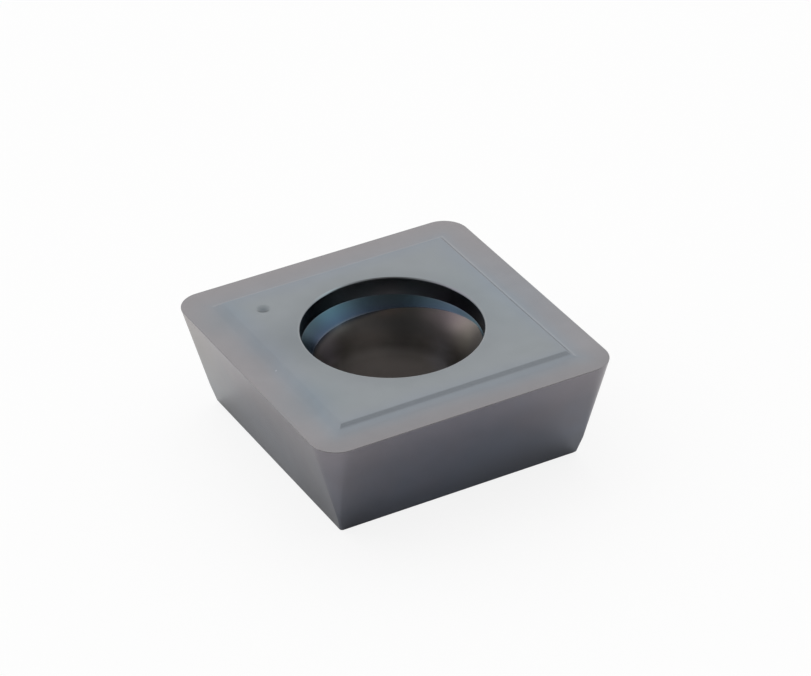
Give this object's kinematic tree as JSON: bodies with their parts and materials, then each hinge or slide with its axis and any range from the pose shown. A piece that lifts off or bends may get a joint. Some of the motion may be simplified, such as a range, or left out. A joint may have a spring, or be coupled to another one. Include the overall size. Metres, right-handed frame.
{
  "type": "carbide insert",
  "caption": "Square positive cutting insert with rounded corners, a raised central plateau and a countersunk screw hole.",
  "frame": {"origin": "middle of the seat, on the axis of the screw hole", "axes": "+Z along the screw hole, from the seat to the cutting side; X and Y square to the flanks"},
  "size_m": [0.0142, 0.0142, 0.0052],
  "materials": {
    "coated_carbide": "satin blue-grey hard coat on sintered carbide"
  },
  "bodies": {
    "root": {"insert_body": "coated_carbide"}
  },
  "joints": []
}
